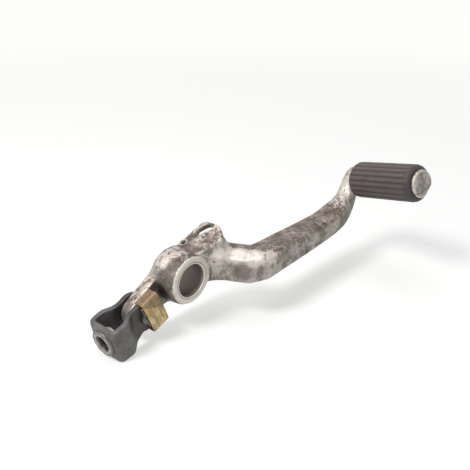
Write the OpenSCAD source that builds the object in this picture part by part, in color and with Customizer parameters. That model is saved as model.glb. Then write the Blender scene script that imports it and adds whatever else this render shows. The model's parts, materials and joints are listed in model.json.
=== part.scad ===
// Foot brake lever of a motorcycle, with its fork-end clevis.
// The origin is the middle of the pivot bore. The bore runs along Y, and the
// pedal side is at negative Y. X points along the arm, Z points up.

/* [Pivot] */
// Running bore of the pivot bush
pivot_bore_d = 20; // [16:0.5:22]
// Wall of the pivot bush
bush_wall = 1; // [0.8:0.1:2]
// Length of the pivot boss along the bore
boss_length = 20; // [16:0.5:26]
// Metal round the bush at the boss
boss_wall = 3.6; // [3:0.1:5]
// Chamfer at the outer rim of both ends of the boss
boss_chamfer = 0.8; // [0.3:0.1:1.2]
// Cast skin round the machined outboard end of the boss
boss_skin = 0.8; // [0.3:0.1:1.2]
// Growth of that skin towards the far end, for draft
boss_draft = 0.9; // [0:0.1:1.2]

/* [Tongue] */
// Distance from the pivot to the clevis pin
pin_reach = 32; // [30:0.5:40]
// Slope of the tongue below the horizontal
tongue_slope = 26; // [15:1:35]
// Thickness of the tongue between the fork's eyes
tongue_t = 8; // [6:0.5:10]
// Radius of the tongue's eye
tongue_eye_r = 8.8; // [7.5:0.1:9.6]
// Half height of the tongue where it leaves the boss
tongue_root_r = 11.8; // [10:0.1:12.5]

/* [Arm] */
// Outboard offset of the arm's straight run
arm_offset = 25.3; // [20:0.1:30]
// Angle at which the arm's root runs outboard
arm_splay = 62; // [50:1:66]
// Distance from the pivot to the bend where the straight run starts
bend_reach = 37.5; // [35:0.5:44]
// Distance from the pivot to the elbow where the arm turns up
elbow_reach = 116; // [100:1:135]
// Rise of the peg above the straight run
peg_rise = 23.9; // [16:0.1:30]
// Forward distance from the elbow to the peg
peg_lead = 27; // [22:0.5:34]
// Width of the arm's root
arm_root_w = 24; // [20:0.5:26]
// Width of the straight run at the elbow
arm_w = 20; // [16:0.5:22]
// Height of the arm's root
arm_root_h = 19; // [15:0.5:21]
// Height of the straight run at the elbow
arm_h = 13.4; // [11:0.2:16]
// Radius of the arm's end round the peg
arm_end_r = 9; // [7.6:0.1:9.6]

/* [Lug] */
// Thickness of the slotted lug
lug_t = 5; // [3.5:0.5:6]
// Height of the lug's upper face over the tongue's centre line
lug_level = 10; // [8:0.5:11]
// Distance from the pivot to the lug's far corner
lug_reach = 35; // [31:0.5:40]
// Width of the slot
slot_w = 5; // [4:0.25:5.5]
// Length between the slot's two end centres
slot_run = 6; // [4:0.5:7]
// Spring hole in the lug
spring_hole_d = 3.2; // [2.5:0.1:3.5]

/* [Peg] */
// Length of the ribbed rubber
rubber_length = 50.5; // [42:0.5:56]
// Outside diameter of the rubber over its ribs
rubber_d = 24; // [22:0.5:27]
// Rounding of the rubber's two ends
rubber_round = 4; // [2:0.5:5]
// Diameter of the peg inside the rubber
peg_d = 13; // [11:0.5:15]
// Diameter of the peg's end flange
flange_d = 18; // [15:0.5:20]
// Thickness of the peg's end flange
flange_t = 3; // [2:0.25:4]
// Depth of the flat worn on the end flange's rim
wear_depth = 1.8; // [0.4:0.1:2]
// Number of grooves round the rubber
groove_count = 20; // [16:1:26]
// Width of a groove at the surface
groove_w = 1.6; // [1:0.1:2]
// Depth of the grooves
groove_depth = 1.1; // [0.6:0.1:1.6]
// Upward tilt of the peg's outer end
peg_tilt = 14; // [6:1:16]
// Backward sweep of the peg's outer end
peg_sweep = 10; // [4:1:14]

/* [Fork] */
// Distance from the clevis pin to the outer face of the fork's base
fork_reach = 25.6; // [24:0.1:28]
// Thickness of the fork's strap
fork_t = 3.2; // [2.5:0.1:3.5]
// Half width of the fork at its base
fork_half_w = 11.3; // [9.8:0.1:11.5]
// Half height of the fork at its base
fork_half_h = 10.7; // [10:0.1:12]
// Half height of the fork's neck behind the eyes
fork_neck_h = 8.8; // [7.5:0.1:9.2]
// Outside radius of the bends at the base
fork_bend_r = 4; // [3.8:0.1:5]
// Radius of the fork's eyes
fork_eye_r = 9.7; // [8.5:0.1:10]
// Slope of the fork below the horizontal, as it lies
fork_slope = 11; // [0:1:30]
// Drop of the base's middle below the fork's eyes
fork_drop = 3.9; // [0:0.1:5]
// Side play between the tongue and each eye
fork_play = 0.4; // [0.3:0.05:0.8]

/* [Clevis hardware] */
// Diameter of the clevis pin
pin_d = 8; // [6:0.5:8]
// Radial running clearance of the pin in its eyes
pin_clearance = 0.05; // [0.03:0.01:0.1]
// Diameter of the pin's head
pin_head_d = 12; // [11:0.5:14]
// Thickness of the pin's head
pin_head_t = 2.5; // [2:0.25:3.5]
// Core diameter of the thread in the fork's nut
nut_core_d = 8.8; // [6.8:0.1:8.8]
// Diameter of the nut's flange
nut_flange_d = 16.5; // [15:0.5:18]
// Thickness of the nut's flange
nut_flange_t = 1.2; // [0.8:0.1:2]
// Diameter of the nut's shank
nut_shank_d = 12.6; // [11:0.1:13]
// Length of the nut's shank behind the flange
nut_shank_l = 7; // [5:0.5:7.5]
// Sheet thickness of the spring clip
clip_t = 0.9; // [0.6:0.1:1.2]
// Height of the clip over its two lips
clip_h = 22.6; // [21:0.1:24]
// Width of the clip along the fork
clip_w = 12.8; // [12:0.1:14]
// Depth of the clip's lips over the fork's eye
clip_depth = 7.1; // [6.5:0.1:7.4]
// Turn of the clip on the fork's eye, forward end up
clip_turn = 11; // [0:1:14]

/* [Hidden] */

// Facets of the bores, of the small holes and of the swept arm
bore_fn = 96;
hole_fn = 48;
arm_sides = 24;
arm_steps = 4;
// Overshoot of a cut past the face it opens
past = 1;

// Pivot
bush_d = pivot_bore_d + 2 * bush_wall;
boss_d = bush_d + 2 * boss_wall;
boss_half = boss_length / 2;

// Tongue: its far face is flush with the far end of the boss
tongue_mid_y = boss_half - tongue_t / 2;
pin_x = -pin_reach * cos(tongue_slope);
pin_z = -pin_reach * sin(tongue_slope);

// Peg: where the rubber starts on the peg's axis
run_z = 1;
peg_out = 2.7;
peg_root = [elbow_reach + peg_lead, -arm_offset - peg_out, run_z + peg_rise];
peg_shank = 7.5;

// Fork: half widths across the eyes
eye_in = tongue_t / 2 + fork_play;
eye_out = eye_in + fork_t;
joggle_start = -fork_reach + 9.5;
joggle_end = -8;
neck_start = -fork_reach + 11;
neck_end = -2;

// Pin: faces across the fork, measured from the tongue's middle
clip_gap = 0.3;
pin_groove_w = clip_t + 0.2;
pin_groove_d = pin_d - 2.5;
pin_tip = eye_out + clip_gap + pin_groove_w + 1.5;
clip_face = clip_gap + pin_tip + clip_t;

// Lug: place of the spring hole, and the slot's start and its turn in the
// lug's plane
spring_x = 15.5;
spring_y = 6.4;
slot_x = lug_reach - 8;
slot_y = 2.2;
slot_turn = 30;

// Points of an arc about a centre, from one angle to another
function arc(c, r, a0, a1, n = 8) =
    [for (i = [0:n]) c + r * [cos(a0 + (a1 - a0) * i / n), sin(a0 + (a1 - a0) * i / n)]];

// Value along a smooth S-curve between two levels
function s_curve(a, b, t) = a + (b - a) * t * t * (3 - 2 * t);

// Point of a curve that passes through its stations
function through(p, i, t) =
    let (a = p[max(i - 1, 0)], b = p[i], c = p[i + 1], d = p[min(i + 2, len(p) - 1)])
    0.5 * (2 * b + (c - a) * t + (2 * a - 5 * b + 4 * c - d) * t * t
           + (3 * b - a - 3 * c + d) * t * t * t);
function smooth(p, steps) = concat(
    [for (i = [0:len(p) - 2]) for (s = [0:steps - 1]) through(p, i, s / steps)],
    [p[len(p) - 1]]);

// Place of a station, and a vector of length one
function place(p) = [p[0], p[1], p[2]];
function unit(v) = v / norm(v);

// Ring of a swept bar: a rounded rectangle of a given width and height
function sign_pow(v, e) = sign(v) * pow(abs(v), e);
function ring(centre, ahead, w, h, sides) =
    let (side = [-ahead.y, ahead.x, 0] / norm([ahead.y, ahead.x]),
         up = cross(ahead, side) / norm(cross(ahead, side)))
    [for (k = [0:sides - 1])
        let (a = 360 * k / sides)
        centre + side * w / 2 * sign_pow(cos(a), 0.55) + up * h / 2 * sign_pow(sin(a), 0.55)];

// Bar swept along stations of [x, y, z, width, height]. Each ring stands on
// the bisector of its two stretches, and is widened there as a mitre is.
module swept_bar(line, sides) {
    last = len(line) - 1;
    rings = [for (i = [0:last])
        let (p = line[i], a = line[max(i - 1, 0)], b = line[min(i + 1, last)],
             into = unit(i == 0 ? place(b) - place(p) : place(p) - place(a)),
             out = unit(i == last ? into : place(b) - place(p)),
             mitre = norm(into + out) / 2)
        ring(place(p), unit(into + out), p[3] / mitre, p[4], sides)];
    walls = [for (i = [0:last - 1]) for (k = [0:sides - 1])
        let (n = (k + 1) % sides, m = i * sides)
        [m + k, m + sides + k, m + sides + n, m + n]];
    ends = [[for (k = [0:sides - 1]) k],
            [for (k = [0:sides - 1]) last * sides + sides - 1 - k]];
    polyhedron(points = [for (r = rings) for (p = r) p], faces = concat(walls, ends));
}

// Outline of a bar that tapers between two round ends
module tapered_outline(r0, r1, reach) {
    a = acos((r0 - r1) / reach);
    circle(r0, $fn = bore_fn);
    translate([reach, 0]) circle(r1, $fn = bore_fn);
    polygon([r0 * [cos(a), sin(a)], [reach + r1 * cos(a), r1 * sin(a)],
             [reach + r1 * cos(a), -r1 * sin(a)], r0 * [cos(a), -sin(a)]]);
}

// Lays a drawing of the lever's side view flat across the bore
module across(width) {
    rotate([90, 0, 0]) linear_extrude(width, center = true) children();
}

// Frame of the tongue: X forward along its centre line, Z square to its top
module tongue_frame() {
    rotate([0, -tongue_slope, 0]) children();
}

// Frame of the fork: origin on the pin's axis at the tongue's middle
module fork_frame() {
    translate([pin_x, tongue_mid_y, pin_z]) rotate([0, -fork_slope, 0]) children();
}

// Frame of the peg: Z outboard along its axis from the arm's end
module peg_frame() {
    translate(peg_root)
        rotate([0, 0, -peg_sweep]) rotate([-peg_tilt, 0, 0]) rotate([90, 0, 0]) children();
}

// Boss: a cast barrel with a machined, chamfered rim at both ends
module boss() {
    rim = boss_d / 2;
    near = rim + boss_skin;
    far = near + boss_draft;
    rotate([90, 0, 0]) rotate_extrude($fn = bore_fn)
        polygon([[0, -boss_half], [rim - boss_chamfer, -boss_half],
                 [rim, -boss_half + boss_chamfer], [rim, -boss_half + 1.4], [far, -boss_half + 2.6],
                 [near, boss_half - 2.4], [rim, boss_half - 1.4],
                 [rim, boss_half - boss_chamfer], [rim - boss_chamfer, boss_half], [0, boss_half]]);
}

module tongue() {
    translate([0, tongue_mid_y, 0]) tongue_frame()
        across(tongue_t)
            mirror([1, 0]) tapered_outline(tongue_root_r, tongue_eye_r, pin_reach);
}

// Arm: its root leaves the boss outboard, its run goes straight forward and
// its end turns up to the peg. The heights fall evenly from root to elbow.
function on_root(back) = [bend_reach - back * cos(arm_splay), -arm_offset + back * sin(arm_splay)];
bend_half = 4;
bend_in = on_root(bend_half);
root_mid = on_root(0.56 * bend_reach);
mid_x = (bend_reach + elbow_reach) / 2;
arm_root = [
    [4, 1.4, 0.4, arm_root_w - 8, arm_root_h - 2],
    [17, -0.6, 0.7, arm_root_w - 4, arm_root_h - 0.5],
    [root_mid.x, root_mid.y, 1, arm_root_w - 1, arm_root_h],
    [bend_in.x, bend_in.y, run_z - 0.2, arm_root_w, arm_root_h - 0.4],
    [bend_reach + bend_half, -arm_offset, run_z, (arm_root_w + arm_w) / 2, arm_root_h - 0.8]
];
arm_run = [
    [bend_reach + 0.7 * arm_w, -arm_offset, run_z + 0.1, arm_w + 1, arm_root_h - 1.4],
    [mid_x, -arm_offset, run_z + 0.7, arm_w + 0.4, (arm_root_h + arm_h) / 2],
    [elbow_reach - 10, -arm_offset, run_z + 2, arm_w, arm_h],
    [elbow_reach + 4, -arm_offset + 0.2, run_z + 4.8, arm_w - 1.4, arm_h],
    [elbow_reach + 0.54 * peg_lead, -arm_offset + 0.6, run_z + 0.41 * peg_rise, arm_w - 6.4, arm_h - 1.2],
    [elbow_reach + 0.83 * peg_lead, -arm_offset + 1.8, run_z + 0.77 * peg_rise, arm_w - 8.6, arm_h - 2.2],
    [elbow_reach + peg_lead - 0.8, -arm_offset + 2.7, run_z + peg_rise, arm_w - 9, arm_h - 2.6]
];

module arm() {
    swept_bar(concat(arm_root, smooth(arm_run, arm_steps)), arm_sides);
}

// Lug: a flat plate level with the tongue's top, over the arm's root
module lug() {
    tip = lug_reach - 4.6;
    tongue_frame() {
        translate([0, 0, lug_level - lug_t]) linear_extrude(lug_t) hull() {
            translate([6, boss_half - 5]) circle(5, $fn = 32);
            translate([tip, 2]) circle(4.6, $fn = 32);
            translate([tip + 1, -5]) circle(4, $fn = 32);
            translate([tip - 4, -12]) circle(3, $fn = 32);
            translate([10, -4]) circle(4, $fn = 32);
        }
    }
    // Web that carries the lug's forward edge down to the arm
    hull() {
        tongue_frame() translate([tip + 1, -5, lug_level - lug_t + 0.5])
            cylinder(r = 2.6, h = lug_t - 1.5, $fn = 32);
        tongue_frame() translate([tip - 4, -12, lug_level - lug_t + 0.5])
            cylinder(r = 2.2, h = lug_t - 1.5, $fn = 32);
        translate([0.75 * bend_reach, -0.3 * boss_half, 3 * run_z]) sphere(4, $fn = 32);
        translate([0.88 * bend_reach, -0.9 * boss_half, 4 * run_z]) sphere(4, $fn = 32);
    }
}

module lug_holes() {
    tongue_frame() {
        translate([spring_x, spring_y, lug_level - lug_t - past])
            cylinder(d = spring_hole_d, h = lug_t + 2 * past, $fn = hole_fn);
        translate([slot_x, slot_y, lug_level - lug_t - past]) rotate(-slot_turn)
            linear_extrude(lug_t + 2 * past) {
                circle(d = slot_w, $fn = hole_fn);
                translate([slot_run, 0]) circle(d = slot_w, $fn = hole_fn);
                translate([0, -slot_w / 2]) square([slot_run, slot_w]);
            }
    }
}

// Peg: the arm's round end, the core for the rubber and the end flange
module peg() {
    wear_turn = 50;
    wear_slope = 20;
    peg_frame() difference() {
        rotate_extrude($fn = bore_fn) polygon(concat(
            [[0, -peg_shank]],
            arc([arm_end_r - 3, 3 - peg_shank], 3, -90, 0),
            arc([arm_end_r - 1.5, -1.5], 1.5, 0, 90),
            [[peg_d / 2, 0], [peg_d / 2, rubber_length]],
            arc([flange_d / 2 - 0.8, rubber_length + 0.8], 0.8, -90, 0),
            arc([flange_d / 2 - 0.8, rubber_length + flange_t - 0.8], 0.8, 0, 90),
            [[0, rubber_length + flange_t]]));
        // Flat worn on the flange's lower rim
        rotate(-wear_turn) translate([flange_d / 2 - wear_depth, 0, rubber_length + flange_t])
            rotate([0, -wear_slope, 0]) translate([0, -flange_d / 2, -2 * flange_t])
                cube([flange_d, flange_d, 4 * flange_t]);
    }
}

module lever_casting() {
    color([0.66, 0.62, 0.58])
    difference() {
        union() {
            boss();
            tongue();
            arm();
            lug();
            peg();
        }
        rotate([90, 0, 0]) cylinder(d = bush_d, h = boss_length + 2 * past, center = true, $fn = bore_fn);
        // Clear way in front of the machined end of the boss
        translate([0, -boss_half, 0]) rotate([90, 0, 0])
            cylinder(r = boss_d / 2 + boss_skin, h = boss_length, $fn = bore_fn);
        translate([pin_x, tongue_mid_y, pin_z]) rotate([90, 0, 0])
            cylinder(r = pin_d / 2 + pin_clearance, h = tongue_t + 2 * past, center = true, $fn = bore_fn);
        lug_holes();
    }
}

module pivot_bush() {
    lead = 0.4;
    color([0.72, 0.70, 0.66])
    rotate([90, 0, 0]) rotate_extrude($fn = bore_fn)
        polygon([[pivot_bore_d / 2, -boss_half + lead], [pivot_bore_d / 2 + lead, -boss_half],
                 [bush_d / 2, -boss_half], [bush_d / 2, boss_half],
                 [pivot_bore_d / 2 + lead, boss_half], [pivot_bore_d / 2, boss_half - lead]]);
}

module peg_rubber() {
    r = rubber_d / 2;
    color([0.2, 0.19, 0.19])
    peg_frame()
    difference() {
        rotate_extrude($fn = bore_fn) polygon(concat(
            [[peg_d / 2, 0]],
            arc([r - rubber_round, rubber_round], rubber_round, -90, 0, 6),
            arc([r - rubber_round, rubber_length - rubber_round], rubber_round, 0, 90, 6),
            [[peg_d / 2, rubber_length]]));
        for (i = [0:groove_count - 1])
            rotate(360 * (i + 0.5) / groove_count)
                translate([r - groove_depth, -groove_w / 2, rubber_round / 2])
                    cube([groove_depth + past, groove_w, rubber_length - rubber_round]);
    }
}

// Plan of the fork's strap: a U with a joggle that closes it on the tongue
module fork_plan() {
    half = concat(
        arc([-fork_reach + fork_bend_r, fork_half_w - fork_bend_r], fork_bend_r, 180, 90),
        [for (i = [0:8]) [joggle_start + (joggle_end - joggle_start) * i / 8,
                          s_curve(fork_half_w, eye_out, i / 8)]],
        [[fork_eye_r + past, eye_out], [fork_eye_r + past, eye_in]],
        [for (i = [8:-1:0]) [joggle_start + (joggle_end - joggle_start) * i / 8 - fork_t / 4,
                             s_curve(fork_half_w - fork_t, eye_in, i / 8)]],
        arc([-fork_reach + fork_bend_r, fork_half_w - fork_bend_r], fork_bend_r - fork_t, 90, 180, 4));
    other = [for (i = [len(half) - 1:-1:0]) [half[i].x, -half[i].y]];
    polygon(concat(half, other));
}

// Side view of the fork's strap: its top runs nearly straight from the base to
// the round eyes, and its underside comes up to them in a curve
module fork_side() {
    corner = 2.5;
    top = fork_half_h - fork_drop;
    foot = -fork_half_h - fork_drop;
    polygon(concat(
        arc([-fork_reach + corner, foot + corner], corner, 180, 270, 4),
        [for (i = [0:10]) [neck_start + (neck_end - neck_start) * i / 10, s_curve(foot, -fork_neck_h, i / 10)]],
        [[0, -fork_neck_h], [0, fork_neck_h], [neck_end, fork_neck_h]],
        arc([-fork_reach + corner, top - corner], corner, 90, 180, 4)));
}

module clevis_fork() {
    color([0.2, 0.2, 0.21])
    fork_frame()
    difference() {
        intersection() {
            linear_extrude(2 * (fork_half_h + fork_drop + past), center = true) fork_plan();
            union() {
                across(2 * fork_half_w + 2 * past) fork_side();
                rotate([90, 0, 0])
                    cylinder(r = fork_eye_r, h = 2 * fork_half_w + 2 * past, center = true, $fn = bore_fn);
            }
        }
        rotate([90, 0, 0])
            cylinder(r = pin_d / 2 + pin_clearance, h = 2 * eye_out + 2 * past, center = true, $fn = bore_fn);
        translate([-fork_reach - past, 0, -fork_drop]) rotate([0, 90, 0])
            cylinder(d = nut_shank_d, h = fork_t + 2 * past, $fn = bore_fn);
    }
}

// Nut: a turned bush pressed through the fork's base, flange outside
module clevis_nut() {
    lead = 0.9;
    color([0.62, 0.61, 0.57])
    fork_frame() translate([-fork_reach, 0, -fork_drop]) rotate([0, 90, 0])
        rotate_extrude($fn = bore_fn)
            polygon([[nut_core_d / 2 + lead, -nut_flange_t],
                     [nut_flange_d / 2 - 0.4, -nut_flange_t], [nut_flange_d / 2, -nut_flange_t + 0.4],
                     [nut_flange_d / 2, 0], [nut_shank_d / 2, 0],
                     [nut_shank_d / 2, nut_shank_l - 0.5], [nut_shank_d / 2 - 0.5, nut_shank_l],
                     [nut_core_d / 2 + 0.5, nut_shank_l], [nut_core_d / 2, nut_shank_l - 0.5],
                     [nut_core_d / 2, -nut_flange_t + lead]]);
}

// Pin: its head is at the far eye, its groove outside the near eye
module clevis_pin() {
    r = pin_d / 2;
    head = eye_out + 0.1;
    groove = eye_out + clip_gap - 0.1;
    color([0.3, 0.3, 0.3])
    fork_frame() rotate([90, 0, 0])
        rotate_extrude($fn = bore_fn)
            polygon([[0, -head - pin_head_t], [pin_head_d / 2 - 0.5, -head - pin_head_t],
                     [pin_head_d / 2, -head - pin_head_t + 0.5], [pin_head_d / 2, -head], [r, -head],
                     [r, groove], [pin_groove_d / 2, groove],
                     [pin_groove_d / 2, groove + pin_groove_w], [r, groove + pin_groove_w],
                     [r, pin_tip - 0.6], [r - 0.6, pin_tip], [0, pin_tip]]);
}

// Clip: a folded spring sheet. Its inner leaf sits in the pin's groove, its
// outer leaf covers the pin's tip and two lips grip over the near eye.
module pin_clip() {
    h = clip_h / 2;
    bend = 2;
    lip = clip_face - clip_depth;
    inner = eye_out + clip_gap;
    fold_r = (clip_face - inner) / 2;
    back = clip_w - 1;
    clip_slot = 3;
    color([0.72, 0.58, 0.32])
    fork_frame() rotate([0, -clip_turn, 0]) {
        // Outer leaf and lips, drawn looking along the fork
        translate([-1, 0, 0]) rotate([90, 0, 90]) linear_extrude(clip_w - fold_r / 2)
            polygon(concat(
                [[-lip, h]], arc([-clip_face + bend, h - bend], bend, 90, 180),
                arc([-clip_face + bend, bend - h], bend, 180, 270), [[-lip, -h], [-lip, clip_t - h]],
                arc([-clip_face + bend, bend - h], bend - clip_t, 270, 180, 4),
                arc([-clip_face + bend, h - bend], bend - clip_t, 180, 90, 4), [[-lip, h - clip_t]]));
        // Fold at the boss side and the slotted inner leaf
        difference() {
            linear_extrude(clip_h - 8, center = true)
                polygon(concat(
                    arc([back - fold_r, -clip_face + fold_r], fold_r, -90, 90, 12),
                    [[-1, -inner], [-1, -inner - clip_t]],
                    arc([back - fold_r, -clip_face + fold_r], fold_r - clip_t, 90, -90, 12),
                    [[back - fold_r - 1, -clip_face + clip_t], [back - fold_r - 1, -clip_face]]));
            rotate([90, 0, 0]) linear_extrude(inner + clip_t + 0.3) {
                circle(d = pin_groove_d + 0.2, $fn = hole_fn);
                translate([-clip_slot, -pin_groove_d / 2 - 0.1]) square([clip_slot, pin_groove_d + 0.2]);
            }
        }
    }
}

lever_casting();
pivot_bush();
peg_rubber();
clevis_fork();
clevis_nut();
clevis_pin();
pin_clip();
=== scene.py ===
# %% [markdown]
# # A worn foot brake lever
#
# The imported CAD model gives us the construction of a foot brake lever: a casting
# with a pivot boss, a bent arm and a foot peg, and a small fork-end clevis that
# swings on a pin. In this lesson we give it the looks of a used one. We soften
# the cast edges, turn and thread the small parts, and build one procedural
# finish for each metal and for the rubber. Nothing is moved or resized.

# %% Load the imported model
import json
import math

import bmesh
import bpy
import numpy as np
from mathutils import Matrix, Vector, noise


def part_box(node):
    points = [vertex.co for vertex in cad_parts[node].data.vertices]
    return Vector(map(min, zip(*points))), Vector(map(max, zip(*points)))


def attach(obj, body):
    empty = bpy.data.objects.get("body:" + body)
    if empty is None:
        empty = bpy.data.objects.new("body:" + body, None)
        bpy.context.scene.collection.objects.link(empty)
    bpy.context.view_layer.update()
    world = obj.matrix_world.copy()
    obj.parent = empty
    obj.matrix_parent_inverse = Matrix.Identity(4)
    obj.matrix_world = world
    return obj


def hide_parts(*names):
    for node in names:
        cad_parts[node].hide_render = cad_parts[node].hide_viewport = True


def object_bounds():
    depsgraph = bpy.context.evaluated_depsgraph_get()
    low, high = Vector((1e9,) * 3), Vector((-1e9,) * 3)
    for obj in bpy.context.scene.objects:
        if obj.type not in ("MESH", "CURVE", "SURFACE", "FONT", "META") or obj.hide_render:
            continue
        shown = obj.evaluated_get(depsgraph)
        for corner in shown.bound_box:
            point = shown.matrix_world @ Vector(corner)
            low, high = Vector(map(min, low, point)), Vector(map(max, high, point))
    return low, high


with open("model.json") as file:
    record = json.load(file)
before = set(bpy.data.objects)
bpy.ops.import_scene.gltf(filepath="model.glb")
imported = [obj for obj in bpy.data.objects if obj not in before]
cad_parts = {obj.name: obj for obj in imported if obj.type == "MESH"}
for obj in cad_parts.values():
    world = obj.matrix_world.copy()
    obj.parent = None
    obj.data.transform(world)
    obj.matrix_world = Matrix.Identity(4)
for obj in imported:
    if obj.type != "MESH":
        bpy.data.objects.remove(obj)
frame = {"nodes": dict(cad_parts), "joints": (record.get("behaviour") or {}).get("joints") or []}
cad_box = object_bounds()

MM = 0.001
print("nodes:", sorted(frame["nodes"]))
print("CAD box in mm:", [[round(value / MM, 1) for value in corner] for corner in cad_box])

# %% [markdown]
# ## The camera
#
# A photograph is matched by a camera at the same place with the same lens. Here
# the two end circles of the boss gave the place: it stands behind and above the
# clevis, on the foot peg's side. The lens follows from the focal length in
# pixels. With the camera set first, every later step can be judged in its view.

# %% Camera
PHOTO_WIDTH = 470
FOCAL_PIXELS = 700
SENSOR_WIDTH = 36
CAMERA_PLACE = (-0.2433, -0.26017, 0.19877)
CAMERA_DOWN = math.radians(25.99)
CAMERA_TURN = math.radians(-48.24)

camera_data = bpy.data.cameras.new("camera")
camera_data.sensor_width = SENSOR_WIDTH
camera_data.lens = SENSOR_WIDTH * FOCAL_PIXELS / PHOTO_WIDTH
camera = bpy.data.objects.new("camera", camera_data)
camera.location = CAMERA_PLACE
camera.rotation_euler = (math.pi / 2 - CAMERA_DOWN, 0, CAMERA_TURN)
bpy.context.scene.collection.objects.link(camera)
bpy.context.scene.camera = camera
bpy.context.scene.view_settings.view_transform = "Standard"
print("lens:", round(camera_data.lens, 1), "mm")

# %% [markdown]
# ## Materials made of nodes
#
# Every finish in this lesson is a small tree of shader nodes. Linking nodes one
# by one takes many lines, so two helpers do it. One opens a material with an
# empty tree, and the other adds a node and sets or links its inputs at once.

# %% Start a material
def new_material(name):
    """A material with an empty tree, its Principled shader and its output."""
    material = bpy.data.materials.new(name)
    material.use_nodes = True
    tree = material.node_tree
    tree.nodes.clear()
    output = tree.nodes.new("ShaderNodeOutputMaterial")
    shader = tree.nodes.new("ShaderNodeBsdfPrincipled")
    tree.links.new(shader.outputs["BSDF"], output.inputs["Surface"])
    return material, tree, shader


def add(tree, kind, inputs=None, **settings):
    """A node with its settings. An input is a value, or a socket to link."""
    node = tree.nodes.new(kind)
    for key, value in settings.items():
        setattr(node, key, value)
    for key, value in (inputs or {}).items():
        if isinstance(value, bpy.types.NodeSocket):
            tree.links.new(value, node.inputs[key])
        else:
            node.inputs[key].default_value = value
    return node


print("material helpers ready")

# %% [markdown]
# ## The white sheet
#
# The lever lies on a white sheet, which is one large plane here. It could be
# lit until it is pure white, but so much light would flood the metal. Instead
# its colour is nearly white, and it glows for the rays that see a background.
# The glow grows with the distance, so that the shadow by the lever stays.

# %% White sheet
FLOOR_GAP = 0.3 * MM
SHEET_SIZE = 6.0
SHEET_TONE = (0.93, 0.925, 0.91, 1)
SHEET_ROUGHNESS = 0.9
WHITE_GLOW = (0.985, 0.985, 0.97, 1)
GLOW_NEAR, GLOW_FAR = 0.55, 1.0
FAR_FROM, FAR_TO = 0.28, 0.9


def seen_rays(tree):
    """1 for the rays that see a background: direct, mirrored and through glass."""
    rays = add(tree, "ShaderNodeLightPath")
    seen = rays.outputs["Is Camera Ray"]
    for kind in ("Is Glossy Ray", "Is Transmission Ray"):
        seen = add(tree, "ShaderNodeMath", {0: seen, 1: rays.outputs[kind]}, operation="MAXIMUM").outputs[0]
    return seen


def sheet_material():
    material, tree, shader = new_material("white sheet")
    shader.inputs["Base Color"].default_value = SHEET_TONE
    shader.inputs["Roughness"].default_value = SHEET_ROUGHNESS
    glow = add(tree, "ShaderNodeEmission", {"Color": WHITE_GLOW, "Strength": 1.0})
    spot = add(tree, "ShaderNodeNewGeometry")
    far = add(tree, "ShaderNodeVectorMath", {0: spot.outputs["Position"]}, operation="LENGTH")
    share = add(tree, "ShaderNodeMapRange", {
        "Value": far.outputs["Value"], "From Min": FAR_FROM, "From Max": FAR_TO,
        "To Min": GLOW_NEAR, "To Max": GLOW_FAR})
    share = add(tree, "ShaderNodeMath", {0: seen_rays(tree), 1: share.outputs["Result"]},
                operation="MULTIPLY")
    blend = add(tree, "ShaderNodeMixShader", {
        0: share.outputs[0], 1: shader.outputs["BSDF"], 2: glow.outputs["Emission"]})
    output = next(node for node in tree.nodes if node.type == "OUTPUT_MATERIAL")
    tree.links.new(blend.outputs[0], output.inputs["Surface"])
    return material


floor_mesh = bpy.data.meshes.new("sheet")
half = SHEET_SIZE / 2
level = cad_box[0][2] - FLOOR_GAP
corners = [(-half, -half, level), (half, -half, level), (half, half, level), (-half, half, level)]
floor_mesh.from_pydata(corners, [], [(0, 1, 2, 3)])
floor = bpy.data.objects.new("sheet", floor_mesh)
bpy.context.scene.collection.objects.link(floor)
floor_mesh.materials.append(sheet_material())
print("sheet level:", round(level / MM, 1), "mm")

# %% [markdown]
# ## Light
#
# The photograph was taken in soft daylight that comes from the left. One disk
# lamp stands for the window, and two weak ones for the ceiling and the room.
# They are big and far away, so their shadows are soft. The world adds a pale
# sky, and is white where the camera or a mirror sees it.

# %% Lamps and sky
LAMPS = {
    "window": {"place": (-0.68, 0.12, 0.95), "size": 0.36, "watts": 11.5},
    "ceiling": {"place": (0.20, 0.15, 1.1), "size": 0.8, "watts": 3.6},
    "room": {"place": (-0.3, -1.0, 0.45), "size": 0.9, "watts": 1.7},
}
AIM = Vector((0.04, -0.02, 0))
SKY = (0.93, 0.96, 1.0, 1)
SKY_STRENGTH = 0.36


def lamp(name, place, size, watts):
    light = bpy.data.lights.new(name, "AREA")
    light.shape = "DISK"
    light.size = size
    light.energy = watts
    holder = bpy.data.objects.new(name, light)
    holder.location = place
    holder.rotation_euler = (AIM - Vector(place)).to_track_quat("-Z", "Y").to_euler()
    bpy.context.scene.collection.objects.link(holder)


for name, facts in LAMPS.items():
    lamp(name, **facts)


def room_light():
    """A pale sky that lights the metal, and a white one that the camera sees."""
    world = bpy.data.worlds.new("room light")
    bpy.context.scene.world = world
    world.use_nodes = True
    tree = world.node_tree
    tree.nodes.clear()
    sky = add(tree, "ShaderNodeBackground", {"Color": SKY, "Strength": SKY_STRENGTH})
    white = add(tree, "ShaderNodeBackground", {"Color": WHITE_GLOW, "Strength": 1.0})
    blend = add(tree, "ShaderNodeMixShader", {0: seen_rays(tree), 1: sky.outputs[0], 2: white.outputs[0]})
    add(tree, "ShaderNodeOutputWorld", {"Surface": blend.outputs[0]})


room_light()
print("lamps:", len(LAMPS))

# %% [markdown]
# ## Tools for softening a hard model
#
# A CAD solid has knife-sharp edges, and a casting has none. We copy the packed
# mesh, let a voxel remesh cover it with small even faces, and then relax each
# point towards its neighbours. How far a point may relax is a weight, so that
# cast skin goes soft while machined faces stay put.

# %% Copy and remesh
def new_piece(name, mesh):
    piece = bpy.data.objects.new(name, mesh)
    bpy.context.scene.collection.objects.link(piece)
    return piece


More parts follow.
